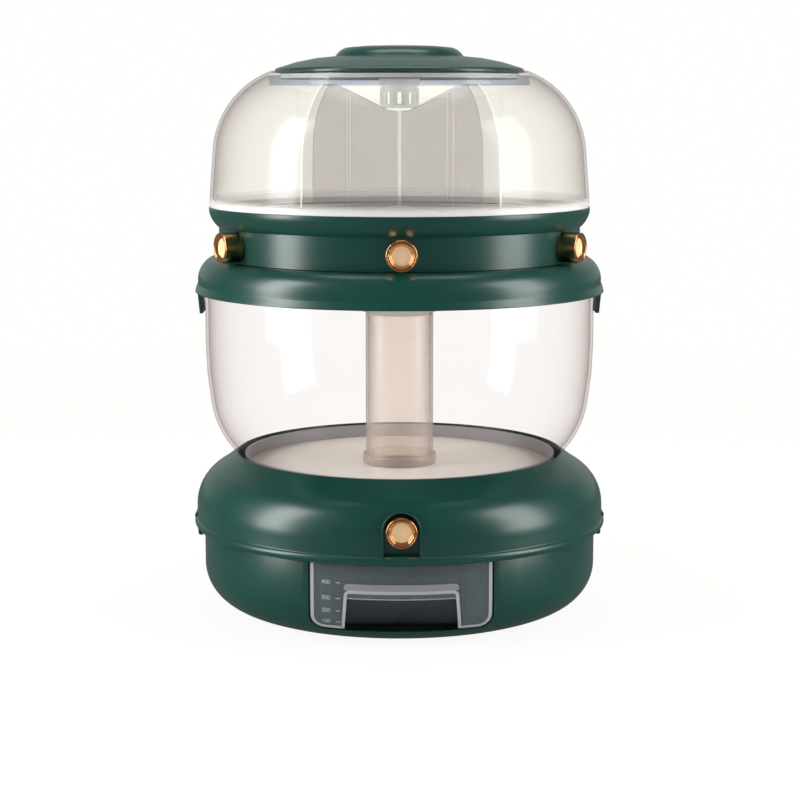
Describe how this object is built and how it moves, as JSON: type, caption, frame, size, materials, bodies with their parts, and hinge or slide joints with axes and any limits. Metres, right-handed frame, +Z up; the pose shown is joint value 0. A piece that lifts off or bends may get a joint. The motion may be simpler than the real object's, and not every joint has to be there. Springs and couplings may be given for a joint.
{
  "type": "rotating rice bucket",
  "caption": "Round kitchen grain bin with a turning upper carousel of push-button compartments, a clear lower bucket, a discharge button and a measuring drawer.",
  "frame": {"origin": "centre of the base on the plane of the feet", "axes": "+Z up along the turning axis, -Y towards the user (drawer and discharge button), +X to the user's right"},
  "size_m": [0.3046, 0.3106, 0.4108],
  "materials": {
    "dark_green": "dark green satin ABS",
    "clear_bucket": "clear polystyrene",
    "clear_container": "clear polystyrene",
    "frosted": "frosted polypropylene",
    "smoke_drawer": "clear polystyrene, darkened by the housing behind it",
    "black_plastic": "black polypropylene",
    "white_plastic": "white polypropylene",
    "rose_gold": "rose gold plated plastic",
    "grey_rubber": "grey silicone",
    "foot_rubber": "black rubber",
    "steel": "plain steel",
    "acetal": "white acetal"
  },
  "bodies": {
    "base": {"base_bowl": "dark_green", "base_feet": "foot_rubber", "base_screws": "steel", "drawer_bay": "black_plastic", "base_shoulder": "dark_green", "discharge_guide": "black_plastic", "bucket_floor": "white_plastic", "bucket_seal": "grey_rubber", "rice_bucket": "clear_bucket", "drop_tube": "clear_container", "tube_collar": "white_plastic", "upper_ring": "dark_green", "ring_seal": "grey_rubber", "grain_funnel": "frosted", "lower_race": "acetal"},
    "ball_cage": {"bearing_cage": "acetal", "bearing_balls": "steel"},
    "carousel": {"upper_race": "acetal", "carousel_plate": "white_plastic", "carousel_neck": "dark_green", "gate_guide": "white_plastic", "carousel_tray": "dark_green", "compartment_floor": "frosted", "grain_container": "clear_container", "divider": "frosted"},
    "lid": {"lid_cover": "dark_green", "lid_gasket": "grey_rubber", "dryer_holder": "frosted", "dryer_box": "white_plastic"},
    "drawer": {"measuring_drawer": "smoke_drawer"},
    "discharge_button": {"base_button_cap": "rose_gold", "base_gate": "acetal", "base_spring": "steel"},
    "button_1": {"button_cap_1": "rose_gold", "gate_slider_1": "acetal", "button_spring_1": "steel"},
    "button_2": {"button_cap_2": "rose_gold", "gate_slider_2": "acetal", "button_spring_2": "steel"},
    "button_3": {"button_cap_3": "rose_gold", "gate_slider_3": "acetal", "button_spring_3": "steel"},
    "button_4": {"button_cap_4": "rose_gold", "gate_slider_4": "acetal", "button_spring_4": "steel"},
    "button_5": {"button_cap_5": "rose_gold", "gate_slider_5": "acetal", "button_spring_5": "steel"},
    "button_6": {"button_cap_6": "rose_gold", "gate_slider_6": "acetal", "button_spring_6": "steel"},
    "upper_latch_right": {"upper_latch_right": "dark_green"},
    "upper_latch_left": {"upper_latch_left": "dark_green"},
    "lower_latch_right": {"lower_latch_right": "dark_green"},
    "lower_latch_left": {"lower_latch_left": "dark_green"}
  },
  "joints": [
    {"name": "carousel_spin", "type": "hinge", "parent": "base", "child": "carousel", "pos_m": [0, 0, 0.2549], "axis": [0, 0, 1], "continuous": true},
    {"name": "cage_spin", "type": "hinge", "parent": "base", "child": "ball_cage", "pos_m": [0, 0, 0.2549], "axis": [0, 0, 1], "continuous": true},
    {"name": "lid_lift", "type": "slide", "parent": "carousel", "child": "lid", "axis": [0, 0, 1], "range_m": [0, 0.06]},
    {"name": "drawer_pull", "type": "slide", "parent": "base", "child": "drawer", "axis": [0, -1, 0], "range_m": [0, 0.17]},
    {"name": "discharge_press", "type": "slide", "parent": "base", "child": "discharge_button", "axis": [0, 1, 0], "range_m": [0, 0.008], "stiffness_N_per_m": 300, "springref_m": -0.004, "deforming": ["base_spring"]},
    {"name": "press_1", "type": "slide", "parent": "carousel", "child": "button_1", "axis": [0, 1, 0], "range_m": [0, 0.008], "stiffness_N_per_m": 300, "springref_m": -0.004, "deforming": ["button_spring_1"]},
    {"name": "press_2", "type": "slide", "parent": "carousel", "child": "button_2", "axis": [-0.866, 0.5, 0], "range_m": [0, 0.008], "stiffness_N_per_m": 300, "springref_m": -0.004, "deforming": ["button_spring_2"]},
    {"name": "press_3", "type": "slide", "parent": "carousel", "child": "button_3", "axis": [-0.866, -0.5, 0], "range_m": [0, 0.008], "stiffness_N_per_m": 300, "springref_m": -0.004, "deforming": ["button_spring_3"]},
    {"name": "press_4", "type": "slide", "parent": "carousel", "child": "button_4", "axis": [0, -1, 0], "range_m": [0, 0.008], "stiffness_N_per_m": 300, "springref_m": -0.004, "deforming": ["button_spring_4"]},
    {"name": "press_5", "type": "slide", "parent": "carousel", "child": "button_5", "axis": [0.866, -0.5, 0], "range_m": [0, 0.008], "stiffness_N_per_m": 300, "springref_m": -0.004, "deforming": ["button_spring_5"]},
    {"name": "press_6", "type": "slide", "parent": "carousel", "child": "button_6", "axis": [0.866, 0.5, 0], "range_m": [0, 0.008], "stiffness_N_per_m": 300, "springref_m": -0.004, "deforming": ["button_spring_6"]},
    {"name": "upper_latch_right_swing", "type": "hinge", "parent": "base", "child": "upper_latch_right", "pos_m": [0.146, 0, 0.2386], "axis": [0, -1, 0], "range_deg": [0, 22], "stiffness_Nm_per_rad": 0.4, "springref_deg": -2.86},
    {"name": "upper_latch_left_swing", "type": "hinge", "parent": "base", "child": "upper_latch_left", "pos_m": [-0.146, 0, 0.2386], "axis": [0, 1, 0], "range_deg": [0, 22], "stiffness_Nm_per_rad": 0.4, "springref_deg": -2.86},
    {"name": "lower_latch_right_swing", "type": "hinge", "parent": "base", "child": "lower_latch_right", "pos_m": [0.1492, 0, 0.0664], "axis": [0, -1, 0], "range_deg": [0, 22], "stiffness_Nm_per_rad": 0.4, "springref_deg": -2.86},
    {"name": "lower_latch_left_swing", "type": "hinge", "parent": "base", "child": "lower_latch_left", "pos_m": [-0.1492, 0, 0.0664], "axis": [0, 1, 0], "range_deg": [0, 22], "stiffness_Nm_per_rad": 0.4, "springref_deg": -2.86}
  ],
  "couplings": [
    {"joint": "cage_spin", "follows": "carousel_spin", "ratio": 0.5}
  ]
}
